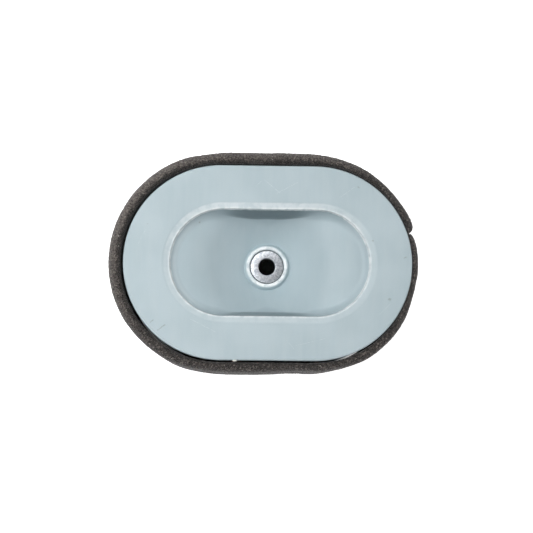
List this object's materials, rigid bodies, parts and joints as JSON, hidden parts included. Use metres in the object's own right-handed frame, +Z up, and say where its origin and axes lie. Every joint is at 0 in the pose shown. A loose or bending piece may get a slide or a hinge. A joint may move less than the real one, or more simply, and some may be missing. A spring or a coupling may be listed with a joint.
{
  "type": "air filter cartridge",
  "caption": "Oval small-engine air filter cartridge with a pressed-steel end cap, a recessed stud bush, pleated paper and a slip-on foam pre-cleaner sleeve.",
  "frame": {"origin": "on the stud axis, in the plane of the base gasket's underside, where the cartridge seals on the engine", "axes": "+X along the oval's length, +Y across it, +Z up to the closed end cap"},
  "size_m": [0.1463, 0.1039, 0.057],
  "materials": {
    "cap_paint": "satin",
    "zinc": "satin",
    "galvanised_mesh": "matte",
    "clip_metal": "satin",
    "potting": "satin",
    "filter_paper": "matte",
    "black_rubber": "matte",
    "foam": "matte",
    "glue": "matte"
  },
  "bodies": {
    "cartridge": {"top_end_cap": "cap_paint", "bottom_end_cap": "cap_paint", "stud_bush": "zinc", "bush_backing_washer": "zinc", "stud_seal_washer": "black_rubber", "top_potting": "potting", "bottom_potting": "potting", "pleated_element": "filter_paper", "pleat_seam_clip": "clip_metal", "inner_core": "galvanised_mesh", "outer_screen": "galvanised_mesh", "base_gasket": "black_rubber"},
    "precleaner": {"precleaner_foam": "foam", "foam_seam_glue": "glue"}
  },
  "joints": [
    {"name": "precleaner_pull_off", "type": "slide", "parent": "cartridge", "child": "precleaner", "axis": [0, 0, 1], "range_m": [0, 0.06]}
  ]
}
